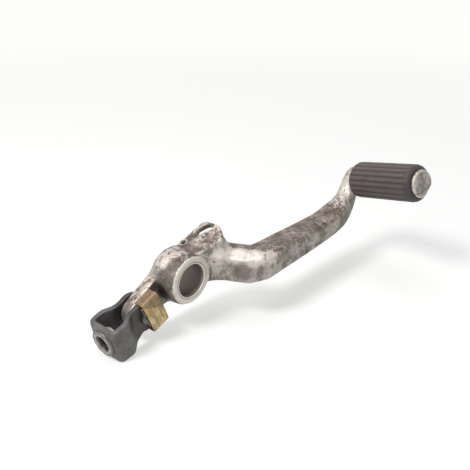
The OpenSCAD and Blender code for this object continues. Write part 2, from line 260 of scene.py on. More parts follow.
def copy_of(node, name):
    """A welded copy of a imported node's mesh, as a piece of its own."""
    mesh = frame["nodes"][node].data.copy()
    mesh.name = name
    mesh.materials.clear()
    shape = bmesh.new()
    shape.from_mesh(mesh)
    bmesh.ops.remove_doubles(shape, verts=shape.verts, dist=0.002 * MM)
    shape.to_mesh(mesh)
    shape.free()
    return new_piece(name, mesh)


def bake(piece):
    """Applies the piece's modifiers to its mesh."""
    graph = bpy.context.evaluated_depsgraph_get()
    mesh = bpy.data.meshes.new_from_object(piece.evaluated_get(graph))
    piece.modifiers.clear()
    piece.data = mesh
    mesh.materials.clear()
    return mesh


def remesh(piece, voxel):
    step = piece.modifiers.new("even faces", "REMESH")
    step.mode = "VOXEL"
    step.voxel_size = voxel
    return bake(piece)


print("copying tools ready")

# %% [markdown]
# Meshes of this size are slow to walk through point by point. So we read all
# points into one array, work on the array, and write it back. Relaxing then
# takes a few sums over the edges for each pass.

# %% Read, place and relax points
def points_of(mesh):
    flat = np.empty(len(mesh.vertices) * 3)
    mesh.vertices.foreach_get("co", flat)
    return flat.reshape(-1, 3)


def place_points(mesh, points):
    mesh.vertices.foreach_set("co", points.ravel())
    mesh.update()


def normals_of(mesh):
    flat = np.empty(len(mesh.vertices) * 3)
    mesh.vertices.foreach_get("normal", flat)
    return flat.reshape(-1, 3)


def relax(mesh, points, passes, weight):
    """Moves each point towards the middle of its neighbours, by its weight."""
    count = len(mesh.vertices)
    flat = np.empty(len(mesh.edges) * 2, dtype=np.int32)
    mesh.edges.foreach_get("vertices", flat)
    first, second = flat.reshape(-1, 2).T
    degree = np.bincount(first, minlength=count) + np.bincount(second, minlength=count)
    degree = np.maximum(degree, 1)[:, None]
    points = points.copy()
    for _ in range(passes):
        total = np.stack([
            np.bincount(first, points[second, axis], count) + np.bincount(second, points[first, axis], count)
            for axis in range(3)], axis=1)
        points += weight[:, None] * (total / degree - points)
    return points


print("point tools ready")

# %% [markdown]
# Wear and softness never stop at a line. Two small functions give every border
# a smooth step, and mark soft round areas by their middle and their radius. A
# third samples noise at each point, for skin that isn't quite even.

# %% Soft borders, soft areas and noise
SPOT_CORE = 0.35


def ease(low, high, value):
    """0 below low, 1 above high, and a smooth step between."""
    share = np.clip((value - low) / (high - low), 0, 1)
    return share * share * (3 - 2 * share)


def spots(points, places):
    """Soft round areas, each (centre, radius, strength), merged by their largest."""
    value = np.zeros(len(points))
    for place, radius, *strength in places:
        gap = np.linalg.norm(points - np.array(place) * MM, axis=1) / (radius * MM)
        value = np.maximum(value, (1 - ease(SPOT_CORE, 1.0, gap)) * (strength[0] if strength else 1))
    return value


def noise_at(points, size):
    """Noise whose waves are about as long as size, at each point."""
    return np.array([noise.noise(Vector(point) / size) for point in points])


print("soft areas and noise ready")

# %% [markdown]
# ## The casting
#
# Boss, tongue, lug, arm and peg are one casting. Its skin is soft where the
# mould was soft, and crisp where a tool has faced the boss and bored it. It
# could be sculpted by hand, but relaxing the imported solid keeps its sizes. The
# machined faces are cut afresh after that, and small dents come last.

# %% Where things are on the casting
bush_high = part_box("pivot_bush")[1]
BORE_RADIUS = bush_high.x
FACE_Y = bush_high.y
pin_place = Vector(frame["joints"][0]["pos_m"])
TONGUE_SLOPE = math.atan2(-pin_place.z, -pin_place.x)
RIM_RADIUS = 14.6 * MM
PEG_ROOT = np.array((143.0, -28.0, 24.9)) * MM
PEG_SWEEP = math.radians(10)
PEG_TILT = math.radians(14)
RUBBER_LENGTH = 50.5 * MM

peg_turn = (Matrix.Rotation(-PEG_SWEEP, 3, "Z") @ Matrix.Rotation(-PEG_TILT, 3, "X")
            @ Matrix.Rotation(math.pi / 2, 3, "X"))
peg_axes = np.array(peg_turn)


def along_peg(points):
    """Coordinates in the peg's own frame: the third runs out along it."""
    return (points - PEG_ROOT) @ peg_axes


def over_tongue(points):
    """Height over the tongue's centre line, and reach along it."""
    reach = points[:, 0] * math.cos(TONGUE_SLOPE) + points[:, 2] * math.sin(TONGUE_SLOPE)
    height = points[:, 2] * math.cos(TONGUE_SLOPE) - points[:, 0] * math.sin(TONGUE_SLOPE)
    return height, reach


print("bore radius:", round(BORE_RADIUS / MM, 2), "mm, tongue slope:", round(math.degrees(TONGUE_SLOPE), 1))

# %% [markdown]
# The mould leaves a sloping fillet between the lug's near edge and the arm, and
# the arm's near upper edge is fuller by the boss than further out. Each is one
# more lump of metal, which the remesh melts into the rest.

# %% Fill the corner under the lug and the arm's edge
# Corners are in millimetres. The root's are (beside the arm's middle, up)
FILLET = [(4, -7.2, 11.8), (17.6, -13.9, 18.9), (19.5, -12, 19.8), (24.0, -6, 21.6), (12, -9.4, 8.5),
          (17.5, -13.4, 7.5), (22.5, -20, 8.3), (28.5, -15, 8.6), (29, -8, 8.5)]
ARM_TURN = math.radians(62)
EDGE_FOOT = 3
ROOT_SECTION = ((-9.8, 9.3), (-9.8, EDGE_FOOT), (-16, 10), (-16, EDGE_FOOT))
ROOT_SPAN = (15.5, 38)
RUN_MIDDLE = -27


def on_root(along, beside, up):
    """A place on the arm's first stretch, which leaves the boss outboard."""
    return (along * math.cos(ARM_TURN) - beside * math.sin(ARM_TURN),
            -along * math.sin(ARM_TURN) - beside * math.cos(ARM_TURN), up)


def run_section(x, near, top):
    """Four corners of the fuller edge, on the arm's straight run."""
    return [(x, near, top), (x, near, EDGE_FOOT), (x, RUN_MIDDLE, top + 1), (x, RUN_MIDDLE, EDGE_FOOT)]


def add_lump(piece, corners):
    """Joins the hull of some corners to the piece's mesh, for the remesh to melt in."""
    shape = bmesh.new()
    for corner in corners:
        shape.verts.new(Vector(corner) * MM)
    bmesh.ops.convex_hull(shape, input=shape.verts)
    bmesh.ops.recalc_face_normals(shape, faces=shape.faces)
    lump = bpy.data.meshes.new("lump")
    shape.to_mesh(lump)
    shape.free()
    shape = bmesh.new()
    shape.from_mesh(piece.data)
    shape.from_mesh(lump)
    shape.to_mesh(piece.data)
    shape.free()
    bpy.data.meshes.remove(lump)


root_start, root_end = [[on_root(along, *corner) for corner in ROOT_SECTION] for along in ROOT_SPAN]
run_start = run_section(42, near=-35.5, top=8.6)
run_end = run_section(70, near=-33.4, top=8.0)
casting = copy_of("lever_casting", "cast_lever")
for lump_corners in (FILLET, root_start + root_end, root_end + run_start, run_start + run_end):
    add_lump(casting, lump_corners)
print("casting with its lumps:", len(casting.data.polygons), "faces")

# %% [markdown]
# Relaxing closes small holes and rounds thin plates, so both are held back. A
# spring hole and a slot go through the lug, and their places are known in the
# lug's own plane, which leans like the tongue.

# %% The holes in the lug
# Millimetres on the lug: a middle and a radius; a start, a length and a turn
SPRING_HOLE = ((15.5, 6.4), 1.65)
SLOT = ((27, 2.2), 6.0, math.radians(-30))
LUG_UNDERSIDE = 3 * MM
FAR_AWAY = 10


def off_hole(points, start, run=0.0, turn=0.0):
    """Distance in the lug's plane from a hole's middle, or from a slot's middle line."""
    height, reach = over_tongue(points)
    flat = np.stack([reach, points[:, 1]], axis=1) - np.array(start) * MM
    ahead = np.array((math.cos(turn), math.sin(turn)))
    along = np.clip(flat @ ahead, 0, run * MM)
    return np.linalg.norm(flat - along[:, None] * ahead, axis=1) + FAR_AWAY * (height < LUG_UNDERSIDE)


print("spring hole radius:", SPRING_HOLE[1], "mm, slot length:", SLOT[1], "mm")

# %% How soft each place is
OPEN_SKIN = 0.5
PLATE_HELD, TONGUE_HELD = 0.44, 0.40
PLATE_HEIGHT = (8.2 * MM, 9.6 * MM)
PLATE_REACH = (4 * MM, 8 * MM)
PLATE_END = (42 * MM, 36 * MM)
TONGUE_START = (-9 * MM, -13 * MM)
PEG_START = -1 * MM
PEG_SOFTNESS = 0.08
HOLE_HELD, HOLE_RIM = 0.1, 3.0 * MM
SLOT_HELD, SLOT_RIM = 0.7, 3.6 * MM
# Each area is a middle and a radius in millimetres, and how firmly it holds
CRISP = [((21, -20, 9), 9, 0.85), ((25, -27, 9), 10, 0.85), ((32, -33, 8), 10, 0.8),
         ((43, -35, 7), 10, 0.65), ((58, -35, 6), 12, 0.5), ((76, -35, 6), 12, 0.35),
         ((17, -14, 8), 6, 0.7)]


def softness(points):
    """How freely each point of the casting may relax, from 0 to 0.5."""
    height, reach = over_tongue(points)
    from_axis = np.hypot(points[:, 0], points[:, 2])
    soft = np.full(len(points), OPEN_SKIN)
    plate = ease(*PLATE_HEIGHT, height) * ease(*PLATE_REACH, reach) * ease(*PLATE_END, points[:, 0])
    soft -= PLATE_HELD * plate
    soft *= 1 - spots(points, CRISP)
    soft -= TONGUE_HELD * ease(*TONGUE_START, points[:, 0])
    soft = np.where(along_peg(points)[:, 2] > PEG_START, PEG_SOFTNESS, soft)
    soft[off_hole(points, SPRING_HOLE[0]) < HOLE_RIM] *= HOLE_HELD
    soft[off_hole(points, *SLOT) < SLOT_RIM] *= SLOT_HELD
    faced = (from_axis < RIM_RADIUS + 0.2 * MM) & (np.abs(points[:, 1]) > FACE_Y - 1.6 * MM)
    soft[faced | (from_axis < BORE_RADIUS + 0.6 * MM)] = 0
    return soft


print("areas kept crisp:", len(CRISP))

# %% [markdown]
# The mould gave the lever soft corners and a long fillet under the lug. One
# pass of relaxing moves each point only a little, so the casting takes many,
# and the fillet more again. A bar shrinks as it relaxes, so its skin is let out
# afterwards by about as much.

# %% Soften the casting
CASTING_VOXEL = 0.55 * MM
CAST_PASSES = 90
FILLET_PASSES = 220
FILLET_SPOTS = [((20, -13, 13), 11), ((26, -12, 14), 10), ((13, -9.5, 12), 6)]
SWELL = 0.28 * MM
mesh = remesh(casting, CASTING_VOXEL)
points = points_of(mesh)
soft = softness(points)
points = relax(mesh, points, CAST_PASSES, soft)
place_points(mesh, points)
points = points + normals_of(mesh) * (SWELL * ease(0.2, OPEN_SKIN, soft))[:, None]
fillet = spots(points, FILLET_SPOTS) * soft
points = relax(mesh, points, FILLET_PASSES, fillet)
place_points(mesh, points)
print("casting faces:", len(mesh.polygons))

# %% [markdown]
# A lathe faced the boss and bored it, so its ring is flat and its bore round,
# with sharp corners. Creases on a relaxed mesh would stay ragged. We do as the
# workshop did, and take the metal away with round tools, each one a boolean.

# %% Face the boss and bore it again
FACING = 0.03 * MM
FACE_ROOM = 0.7 * MM
TOOL_LENGTH = 30 * MM
TOOL_SIDES = 160


def tool(name, radius, low, high, turned=Matrix.Identity(4)):
    """A round cutter along Y, or turned, as an object that the boolean takes away."""
    shape = bmesh.new()
    bmesh.ops.create_cone(shape, cap_ends=True, segments=TOOL_SIDES, radius1=radius, radius2=radius,
                          depth=high - low)
    turn = turned @ Matrix.Translation((0, (low + high) / 2, 0)) @ Matrix.Rotation(math.pi / 2, 4, "X")
    bmesh.ops.transform(shape, matrix=turn, verts=shape.verts)
    mesh = bpy.data.meshes.new(name)
    shape.to_mesh(mesh)
    shape.free()
    return new_piece(name, mesh)


def cut(piece, cutter):
    """Takes the cutter's shape out of the piece, and the cutter out of the scene."""
    step = piece.modifiers.new("cut", "BOOLEAN")
    step.operation = "DIFFERENCE"
    step.solver = "MANIFOLD"
    step.object = cutter
    mesh = bake(piece)
    bpy.data.objects.remove(cutter)
    return mesh


cut(casting, tool("near face", RIM_RADIUS + FACE_ROOM, -FACE_Y - TOOL_LENGTH, -FACE_Y + FACING))
cut(casting, tool("bore", BORE_RADIUS + FACING, -FACE_Y - 2 * MM, FACE_Y + 4 * MM))
hole_x, hole_y = SPRING_HOLE[0]
to_hole = (Matrix.Rotation(-TONGUE_SLOPE, 4, "Y") @ Matrix.Translation((hole_x * MM, hole_y * MM, 0))
           @ Matrix.Rotation(math.pi / 2, 4, "X"))
mesh = cut(casting, tool("spring hole", SPRING_HOLE[1] * MM, 3 * MM, 14 * MM, to_hole))
print("after machining:", len(mesh.polygons), "faces")

# %% [markdown]
# Sand leaves a cast skin uneven, and years of use add small dents. A bump in
# the finish would fade at the outline, so the skin itself is moved: by noise in
# two sizes, rougher on the boss's side, and by one round dip for each nick.

# %% Rough skin and nicks
# Each nick is a middle, a radius and a depth in millimetres
NICKS = [((76.0, -35.0, -2.2), 2.4, 0.9), ((16.6, -11.3, 7.6), 0.9, 0.5), ((17.4, -11.6, 5.2), 0.8, 0.5),
         ((125.0, -33.0, 10.0), 1.2, 0.3), ((101.0, -35.4, 3.0), 1.5, 0.3),
         ((112.0, -36.0, 7.0), 1.6, 0.3), ((33.0, -34.5, 8.0), 1.4, 0.25), ((17.0, -11.2, 6.6), 1.3, 0.3),
         ((24.5, -6.0, 23.2), 1.5, 0.25), ((52.0, -35.5, 3.0), 1.8, 0.2)]
SKIN_WAVE, WAVE_SIZE = 0.10 * MM, 4.5 * MM
SKIN_GRAIN, GRAIN_SIZE = 0.035 * MM, 1.3 * MM
NOISE_MIDDLE = 0.4
PEG_ROUGHNESS = 0.3
CREASE = math.radians(42)
ROUGH_CAST = [((-13, -3, 6), 9), ((-15, -3, -3), 9), ((-13, -5, -9), 8), ((-4, -4, 15), 5)]
ROUGH_GRAIN = 0.26 * MM


def machined_share(points):
    """1 on the turned and faced surfaces, 0 on the cast skin."""
    from_axis = np.hypot(points[:, 0], points[:, 2])
    ring = (from_axis < RIM_RADIUS + 0.15 * MM) & (np.abs(points[:, 1]) > FACE_Y - 0.9 * MM)
    bored = from_axis < BORE_RADIUS + 0.3 * MM
    return (ring | bored).astype(float)


def rough_skin(mesh):
    """Moves the cast skin by noise, and dips it at each nick."""
    points = points_of(mesh)
    normals = normals_of(mesh)
    skin = 1 - machined_share(points)
    skin *= np.where(along_peg(points)[:, 2] > PEG_START, PEG_ROUGHNESS, 1)
    waves = noise_at(points, WAVE_SIZE) - NOISE_MIDDLE
    grain = noise_at(points, GRAIN_SIZE) - NOISE_MIDDLE
    coarse = spots(points, ROUGH_CAST) * ROUGH_GRAIN
    move = skin * (SKIN_WAVE * waves + (SKIN_GRAIN + coarse) * grain)
    for place, radius, depth in NICKS:
        gap = np.linalg.norm(points - np.array(place) * MM, axis=1) / (radius * MM)
        move -= depth * MM * np.clip(1 - gap * gap, 0, 1) ** 2
    place_points(mesh, points + normals * move[:, None])


rough_skin(mesh)
mesh.shade_smooth()
mesh.set_sharp_from_angle(angle=CREASE)
print("nicks:", len(NICKS))

# %% [markdown]
# Wear follows form: high edges are rubbed bright, hollows keep their dirt. We
# measure how far each point stands proud of its relaxed neighbourhood and store
# that with the mesh, so that the finish can read it later.

# %% Measure edges and hollows
CALMING, EVENING = 0.6, 0.5
EVEN_PASSES = 3
CASTING_REACH, CASTING_PROUD = 14, 0.35 * MM


def store(mesh, name, values):
    """Keeps one number for each point with the mesh, under a name."""
    layer = mesh.attributes.new(name, "FLOAT", "POINT")
    layer.data.foreach_set("value", np.asarray(values, dtype=np.float32))


def store_wear(mesh, reach, full):
    """Stores edge and hollow, from 0 to 1, for points that stand proud or lie low."""
    points = points_of(mesh)
    calm = relax(mesh, points, reach, np.full(len(points), CALMING))
    proud = np.einsum("ij,ij->i", points - calm, normals_of(mesh))
    proud = np.stack([proud, proud, proud], axis=1)
    even = relax(mesh, proud, EVEN_PASSES, np.full(len(points), EVENING))[:, 0]
    store(mesh, "edge", np.clip(even / full, 0, 1))
    store(mesh, "hollow", np.clip(-even / full, 0, 1))
    high, low = [round(float(value) / MM, 2) for value in (even.max(), -even.min())]
    print("proud by up to", high, "mm, low by up to", low, "mm")


points = points_of(mesh)
store_wear(mesh, CASTING_REACH, CASTING_PROUD)
store(mesh, "machined", machined_share(points))

# %% [markdown]
# Form alone doesn't tell where a boot slides, where grease lies or where oil
# runs down. The photograph does. Each place is a soft round area with its
# middle and radius in millimetres and a strength, and the finish adds noise.
# The strongest rubbed places, on the arm's first stretch, are painted
# highlight as well as wear, and the oily ones are partly painted shade.

# %% Where the casting is rubbed, greasy and oily, with painted highlight and shade
# The first four rubbed places, along the arm's first stretch, and those on the elbow are boot wear with a
# painted highlight laid on it.
RUBBED_AND_HIGHLIT = [((19, -12, 10), 8, 1.8), ((24, -13, 10), 9, 1.9), ((28, -20, 10), 9, 1.9),
          ((33, -28, 10), 9, 1.7), ((42, -34, 7), 7, 0.8), ((124, -25, 14), 10, 0.5),
          ((130, -24, 19), 9, 0.6), ((135, -24, 24), 9, 0.7), ((139, -24, 31), 9, 0.35),
          ((-2, 0, 16), 9, 0.65), ((-9, 3, 13), 9, 0.7), ((23, -5, 23), 6, 0.5), ((-15, 6, 5), 8, 0.4),
          ((-22, 6, 1), 8, 0.35), ((-28, 6, -4), 7, 0.35), ((14, -2, 17), 8, 0.45)]
GREASY = [((-15, -3, 3), 9, 1.9), ((-15, -3, -5), 8, 1.9), ((-12, -6, -9), 8, 1.8),
          ((-9, -5, 10), 6, 1.3), ((60, -27, 10), 14, 0.7), ((88, -26, 10), 16, 0.6),
          ((108, -24, 11), 9, 0.5), ((45, -22, 10), 8, 0.7), ((23, 3, 22), 6, 0.5), ((13, 4, 17), 6, 0.8),
          ((6, 0, 15), 6, 0.6), ((-36, 6, -12), 8), ((25, -26, 1), 9, 1.25),
          ((76, -35.2, -2.2), 2.6, 2.5), ((17, -11.4, 6.4), 1.8, 2.0), ((100, -35, 2), 9, 0.5),
          ((126, -33, 12), 8, 0.5)]
# These places blacken the tongue's near side and the boss's underside, only on faces that don't look up:
# oil, and painted shade there.
OILY_AND_SHADED = [((-21, 2, -2), 8, 1.5), ((-17, 1, -5), 8, 1.5), ((-24, 2, -7), 8, 1.5), ((-28, 2, -12), 8, 1.5),
        ((-14, -2, -5), 5, 1.2), ((-13, -4, -11), 7, 1.3), ((-9, -5, -14), 6)]
not_top = ease(0.7, 0.3, normals_of(mesh)[:, 2])
# The stored rubbed share carries boot wear and a painted highlight; the stored oily share carries oil and
# painted shade.
store(mesh, "rubbed", spots(points, RUBBED_AND_HIGHLIT))
store(mesh, "greasy", spots(points, GREASY))
store(mesh, "oily", np.clip(spots(points, OILY_AND_SHADED), 0, 1) * not_top)
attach(casting, "lever")
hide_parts("lever_casting")
print("rubbed:", len(RUBBED_AND_HIGHLIT), "greasy:", len(GREASY), "oily:", len(OILY_AND_SHADED), "areas")

# %% [markdown]
# ## Finishes in layers
#
# An old surface isn't one colour. We build each finish from layers, and a share
# from 0 to 1 says how far a layer covers the one below. The shares come from
# noise, from how a face lies and from the numbers stored with the mesh.

# %% Helpers for the finishes
def grey(value):
    return (value, value, value, 1)


def places(tree, size=1.0):
    """Object coordinates in millimetres, divided by a size."""
    source = add(tree, "ShaderNodeTexCoord")
    scaled = add(tree, "ShaderNodeVectorMath", {0: source.outputs["Object"], "Scale": 1 / (MM * size)},
                 operation="SCALE")
    return scaled.outputs[0]


def mottle(tree, size, detail=5.0, rough=0.6, warp=0.0):
    """Noise whose blotches are about the size given, in millimetres."""
    node = add(tree, "ShaderNodeTexNoise", {
        "Vector": places(tree, size), "Scale": 1.0, "Detail": detail, "Roughness": rough,
        "Distortion": warp})
    return node.outputs["Fac"]


def between(tree, value, low, high):
    """0 to 1 as value goes from low to high, smoothly."""
    node = add(tree, "ShaderNodeMapRange", {"Value": value, "From Min": low, "From Max": high},
               interpolation_type="SMOOTHSTEP")
    return node.outputs["Result"]


def maths(tree, operation, first, second=0.0, clamp=False):
    node = add(tree, "ShaderNodeMath", {0: first, 1: second}, operation=operation)
    node.use_clamp = clamp
    return node.outputs[0]


def times(tree, first, second, clamp=False):
    return maths(tree, "MULTIPLY", first, second, clamp)


def plus(tree, first, second):
    return maths(tree, "ADD", first, second)


def layered(tree, share, under, over):
    """Colour over laid on colour under, where share is 1."""
    node = tree.nodes.new("ShaderNodeMix")
    node.data_type = "RGBA"
    for index, value in ((0, share), (6, under), (7, over)):
        if isinstance(value, bpy.types.NodeSocket):
            tree.links.new(value, node.inputs[index])
        else:
            node.inputs[index].default_value = value
    return node.outputs[2]


def stored(tree, name):
    """The number stored under a name for each point, or 0 where there is none."""
    return add(tree, "ShaderNodeAttribute", attribute_name=name).outputs["Fac"]


def relief(tree, shader, heights):
    """Bumps from (height socket, depth in millimetres), one after the other."""
    normal = None
    for height, depth in heights:
        node = add(tree, "ShaderNodeBump", {"Height": height, "Distance": depth * MM})
        if normal is not None:
            tree.links.new(normal, node.inputs["Normal"])
        normal = node.outputs["Normal"]
    tree.links.new(normal, shader.inputs["Normal"])


def upward(tree):
    """How far a face looks up, from -1 to 1."""
    source = add(tree, "ShaderNodeTexCoord")
    parts = add(tree, "ShaderNodeSeparateXYZ", {0: source.outputs["Normal"]})
    return parts.outputs["Z"]


print("finish helpers ready")

# %% [markdown]
# ## Aged cast aluminium
#
# The open sides of the lever are a dull grey oxide. Dirt has baked brown into
# the upper faces, boots keep the high places bright, and the turned ring shows
# clean metal. On the arm's first stretch the bright and polish colours are
# also a painted highlight, and near black is painted shade with oil on the
# tongue's near side. Noise at three sizes breaks the border between two layers.

# %% Skins of the aluminium
OXIDE = (0.185, 0.168, 0.146, 1)
OXIDE_PALE = (0.41, 0.385, 0.345, 1)
BROWN_FILM = (0.100, 0.074, 0.062, 1)
BROWN_PALE = (0.38, 0.315, 0.275, 1)
BRIGHT = (0.58, 0.52, 0.465, 1)
# The polish colour is a painted highlight on rubbed metal.
POLISHED_AND_HIGHLIGHT = (0.80, 0.75, 0.70, 1)
SOOT = (0.045, 0.037, 0.033, 1)
# Near black for oil and for painted shade.
OIL_AND_SHADE_BLACK = (0.022, 0.017, 0.015, 1)
TURNED = (0.62, 0.585, 0.52, 1)
SEAM = (11.15, 11.55)


def off_axis(tree):
    """Distance from the pivot's axis, in millimetres."""
    parts = add(tree, "ShaderNodeSeparateXYZ", {0: places(tree, 1)})
    square = plus(tree, maths(tree, "POWER", parts.outputs["X"], 2.0),
                   maths(tree, "POWER", parts.outputs["Z"], 2.0))
    return maths(tree, "SQRT", square)


def oxide_skin(tree, cloudy, blotchy, grainy):
    """The open sides: dull grey, with darker panels and fine grain."""
    panel = plus(tree, times(tree, cloudy, 0.7), times(tree, blotchy, 0.3))
    skin = layered(tree, between(tree, panel, 0.44, 0.58), OXIDE, OXIDE_PALE)
    return layered(tree, between(tree, grainy, 0.50, 0.72), skin, OXIDE)


def brown_skin(tree, cloudy, blotchy, grainy):
    """The upper faces, where dirt has baked in."""
    patch = plus(tree, times(tree, blotchy, 0.6), times(tree, grainy, 0.4))
    patch = plus(tree, patch, times(tree, cloudy, 0.35))
    return layered(tree, between(tree, patch, 0.60, 0.80), BROWN_FILM, BROWN_PALE)


def turned_ring(tree, blotchy):
    """The turned face of the boss, with dark grease in the seam round the bush."""
    ring = layered(tree, between(tree, blotchy, 0.52, 0.70), TURNED, OXIDE_PALE)
    return layered(tree, between(tree, off_axis(tree), SEAM[1], SEAM[0]), ring, SOOT)


print("skins ready")

# %% Aged aluminium
CLOUD_SIZE, BLOTCH_SIZE, GRAIN_BLOTCH = 11, 3.2, 0.8
PIT_SIZE = 0.9


def wear_shares(tree, ragged):
    """How far a place is worn bright, how far worn to a polish with a painted highlight, and how dirty."""
    worn = plus(tree, plus(tree, stored(tree, "rubbed"), stored(tree, "edge")), ragged)
    dirt = plus(tree, plus(tree, stored(tree, "greasy"), stored(tree, "hollow")), ragged)
    bright = times(tree, between(tree, worn, 0.20, 0.95), 0.9)
    return bright, between(tree, worn, 1.2, 2.2), between(tree, dirt, 0.30, 1.30)


def aged_aluminium():
    material, tree, shader = new_material("aged cast aluminium")
    cloudy = mottle(tree, CLOUD_SIZE, 4, 0.6, 0.4)
    blotchy = mottle(tree, BLOTCH_SIZE, 8, 0.72, 0.6)
    grainy = mottle(tree, GRAIN_BLOTCH, 8, 0.75)
    ragged = plus(tree, times(tree, blotchy, 3.0), times(tree, grainy, 2.0))
    ragged = plus(tree, ragged, -2.5)
    worn, polish_and_highlight, dirt = wear_shares(tree, ragged)
    turned = stored(tree, "machined")
    # Oil and painted shade blacken the tongue's near side and the boss's underside.
    oiled_and_shaded = between(tree, plus(tree, stored(tree, "oily"), times(tree, ragged, 0.4)), 0.2, 0.8)
    side = oxide_skin(tree, cloudy, blotchy, grainy)
    top = brown_skin(tree, cloudy, blotchy, grainy)
    facing_up = plus(tree, upward(tree), times(tree, blotchy, 0.5))
    colour = layered(tree, between(tree, facing_up, 0.60, 1.15), side, top)
    # Boot wear lays the bright colour; where it is strongest, the polish colour is a painted highlight as
    # well.
    colour = layered(tree, worn, colour, BRIGHT)
    colour = layered(tree, polish_and_highlight, colour, POLISHED_AND_HIGHLIGHT)
    film = layered(tree, between(tree, blotchy, 0.35, 0.6), SOOT, BROWN_FILM)
    colour = layered(tree, times(tree, dirt, 0.75), colour, film)
    specks = between(tree, grainy, 0.58, 0.66)
    colour = layered(tree, times(tree, specks, 0.6), colour, SOOT)
    colour = layered(tree, turned, colour, turned_ring(tree, blotchy))
    # The near black here is oil and painted shade.
    colour = layered(tree, times(tree, oiled_and_shaded, 0.93), colour, OIL_AND_SHADE_BLACK)
    tree.links.new(colour, shader.inputs["Base Color"])
    metal = layered(tree, dirt, grey(0.6), grey(0.2))
    metal = layered(tree, oiled_and_shaded, metal, grey(0.0))
    tree.links.new(metal, shader.inputs["Metallic"])
    gloss = layered(tree, worn, grey(0.52), grey(0.38))
    for share, value in ((polish_and_highlight, 0.43), (dirt, 0.50), (turned, 0.42), (oiled_and_shaded, 0.22)):
        gloss = layered(tree, share, gloss, grey(value))
    tree.links.new(plus(tree, gloss, times(tree, grainy, 0.16)), shader.inputs["Roughness"])
    pitted = between(tree, mottle(tree, PIT_SIZE, 3, 0.5), 0.30, 0.42)
    scratch = add(tree, "ShaderNodeTexWave", {
        "Vector": places(tree, 1), "Scale": 0.5, "Distortion": 22.0, "Detail": 3.0, "Detail Scale": 0.3})
    relief(tree, shader, [(grainy, 0.14), (pitted, 0.12), (blotchy, 0.25), (scratch.outputs["Fac"], 0.02)])
    return material


casting.data.materials.append(aged_aluminium())
print("aged aluminium on", casting.name)

# %% [markdown]
# ## The bush
#
# The bush is a plain turned ring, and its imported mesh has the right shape. It
# only needs its finish: worn bearing metal, bright where the stub has turned
# in it, with old grease further in.

# %% Worn bearing metal
BEARING_DULL = (0.50, 0.46, 0.40, 1)
BEARING_BRIGHT = (0.74, 0.70, 0.63, 1)
OLD_GREASE = (0.19, 0.155, 0.14, 1)
GREASE_FROM = (-7.4, -4.0)


def bearing_metal():
    material, tree, shader = new_material("worn bearing metal")
    parts = add(tree, "ShaderNodeSeparateXYZ", {0: places(tree, 1)})
    inside = plus(tree, parts.outputs["Y"], times(tree, mottle(tree, 4, 4, 0.6), 5.0))
    greased = between(tree, inside, *GREASE_FROM)
    colour = layered(tree, mottle(tree, 1.4, 6, 0.7), BEARING_DULL, BEARING_BRIGHT)
    colour = layered(tree, greased, colour, OLD_GREASE)
    tree.links.new(colour, shader.inputs["Base Color"])
    shader.inputs["Metallic"].default_value = 0.7
    tree.links.new(layered(tree, greased, grey(0.30), grey(0.5)), shader.inputs["Roughness"])
    relief(tree, shader, [(mottle(tree, 0.5, 4, 0.6), 0.02)])
    return material


def dress(node, material):
    """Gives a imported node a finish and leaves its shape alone."""
    mesh = frame["nodes"][node].data
    mesh.materials.clear()
    mesh.materials.append(material)
    return frame["nodes"][node]


dress("pivot_bush", bearing_metal())
print("bush dressed")

# %% [markdown]
# ## The foot rubber
#
# The rubber is a sleeve with long ribs. It could be a cylinder with a bump, but
# the ribs show in outline, so they are modelled. We wrap a grid round the peg:
# each row is a ring, and its radius dips where a groove runs. The grooves fade
# out near both ends, where the mould had plain shoulders.

# %% The rubber's outline
RUBBER_RADIUS = 12 * MM
RUBBER_BORE = 6.5 * MM
RUBBER_ROUND = 3.4 * MM
ROUND_STEPS = 12
LENGTH_STEPS = 56
BORE_STEPS = 20


def rubber_outline():
    """(distance along the peg, radius), once round the sleeve's wall."""
    shoulder = [(RUBBER_ROUND * (1 - math.sin(turn)), RUBBER_RADIUS - RUBBER_ROUND * (1 - math.cos(turn)))
                for turn in (math.pi / 2 * i / ROUND_STEPS for i in range(ROUND_STEPS + 1))]
    straight = RUBBER_LENGTH - 2 * RUBBER_ROUND
    outside = [(RUBBER_ROUND + straight * i / LENGTH_STEPS, RUBBER_RADIUS) for i in range(1, LENGTH_STEPS)]
    far = [(RUBBER_LENGTH - along, radius) for along, radius in shoulder]
    inside = [(RUBBER_LENGTH * (1 - i / BORE_STEPS), RUBBER_BORE) for i in range(BORE_STEPS + 1)]
    return shoulder[::-1] + outside + far + inside


def wrapped_grid(name, rings):
    """A closed skin over rings of points, each ring joined to the next."""
    count, sides, _ = rings.shape
    index = np.arange(count * sides).reshape(count, sides)
    ahead = np.roll(index, -1, axis=0)
    faces = np.stack([index, np.roll(index, -1, axis=1), np.roll(ahead, -1, axis=1), ahead], axis=-1)
    mesh = bpy.data.meshes.new(name)
    mesh.from_pydata(rings.reshape(-1, 3).tolist(), [], faces.reshape(-1, 4).tolist())
    shape = bmesh.new()
    shape.from_mesh(mesh)
    bmesh.ops.recalc_face_normals(shape, faces=shape.faces)
    shape.to_mesh(mesh)
    shape.free()
    mesh.shade_smooth()
    return mesh


print("rings of the rubber:", len(rubber_outline()))

# %% Rubber sleeve
GROOVES = 20
GROOVE_DEPTH = 0.75 * MM
GROOVE_WIDTH = 1.3 * MM
NEAR_ENDS = (0.8 * MM, 2.8 * MM)
FAR_ENDS = (49.5 * MM, 45.5 * MM)
STEPS_PER_RIB = 16
RUBBER_WEAR = 0.07 * MM
WEAR_SIZE, SCUFF_SIZE = 6 * MM, 1.5 * MM


